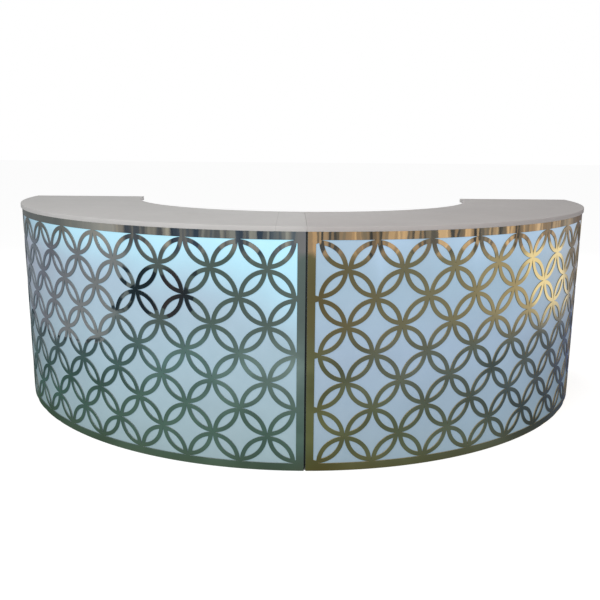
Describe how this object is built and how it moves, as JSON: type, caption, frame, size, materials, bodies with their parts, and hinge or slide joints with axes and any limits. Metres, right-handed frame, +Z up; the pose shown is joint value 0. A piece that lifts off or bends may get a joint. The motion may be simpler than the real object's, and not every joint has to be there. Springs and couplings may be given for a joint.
{
  "type": "illuminated bar table",
  "caption": "Half-round free-standing bar counter in quarter-ring modules: pale top, backlit mirror-metal lattice of interlaced rings in front, open shelves behind.",
  "frame": {"origin": "middle of the bounding box on the floor", "axes": "+Z up, the public side faces -Y, the bartender stands on the +Y side, +X towards the gold module"},
  "size_m": [3.4, 1.6998, 1.1],
  "materials": {
    "top_laminate": "matt pale grey laminate",
    "carcass_board": "white faced board",
    "silver_metal": "mirror-polished stainless steel",
    "gold_metal": "mirror-polished gold-coloured stainless steel",
    "opal_acrylic": "opal, lit from behind",
    "lamp": "light-emitting strip",
    "cable": "white sheathed lead",
    "case_paint": "light grey powder coat",
    "inlet_plastic": "black, with bright blades",
    "switch_plastic": "black",
    "rocker_plastic": "black",
    "glide_plastic": "black",
    "zinc_steel": "zinc-plated angle"
  },
  "bodies": {
    "left_module": {"left_counter_top": "top_laminate", "left_top_rail": "carcass_board", "left_base_board": "carcass_board", "left_joint_end_panel": "carcass_board", "left_outer_end_panel": "carcass_board", "left_centre_partition": "carcass_board", "left_light_box_back": "carcass_board", "left_joint_bay_shelf": "carcass_board", "left_outer_bay_shelf": "carcass_board", "left_diffuser": "opal_acrylic", "left_lattice_panel": "silver_metal", "left_lamp_strip": "lamp", "left_lamp_lead": "cable", "left_driver_case": "case_paint", "left_driver_lid": "case_paint", "left_power_inlet": "inlet_plastic", "left_switch_bezel": "switch_plastic", "left_glides": "glide_plastic", "left_top_brackets": "zinc_steel"},
    "right_module": {"right_counter_top": "top_laminate", "right_top_rail": "carcass_board", "right_base_board": "carcass_board", "right_joint_end_panel": "carcass_board", "right_outer_end_panel": "carcass_board", "right_centre_partition": "carcass_board", "right_light_box_back": "carcass_board", "right_joint_bay_shelf": "carcass_board", "right_outer_bay_shelf": "carcass_board", "right_diffuser": "opal_acrylic", "right_lattice_panel": "gold_metal", "right_lamp_strip": "lamp", "right_lamp_lead": "cable", "right_driver_case": "case_paint", "right_driver_lid": "case_paint", "right_power_inlet": "inlet_plastic", "right_switch_bezel": "switch_plastic", "right_glides": "glide_plastic", "right_top_brackets": "zinc_steel"},
    "left_rocker": {"left_switch_rocker": "rocker_plastic"},
    "right_rocker": {"right_switch_rocker": "rocker_plastic"}
  },
  "joints": [
    {"name": "modules_apart", "type": "slide", "parent": "left_module", "child": "right_module", "axis": [1, 0, 0], "range_m": [0, 0.5]},
    {"name": "left_switch", "type": "hinge", "parent": "left_module", "child": "left_rocker", "pos_m": [-1.4754, 0.7694, 0.986], "axis": [1, 0, 0], "range_deg": [-20, 0]},
    {"name": "right_switch", "type": "hinge", "parent": "right_module", "child": "right_rocker", "pos_m": [1.4754, 0.7694, 0.986], "axis": [1, 0, 0], "range_deg": [-20, 0]}
  ]
}
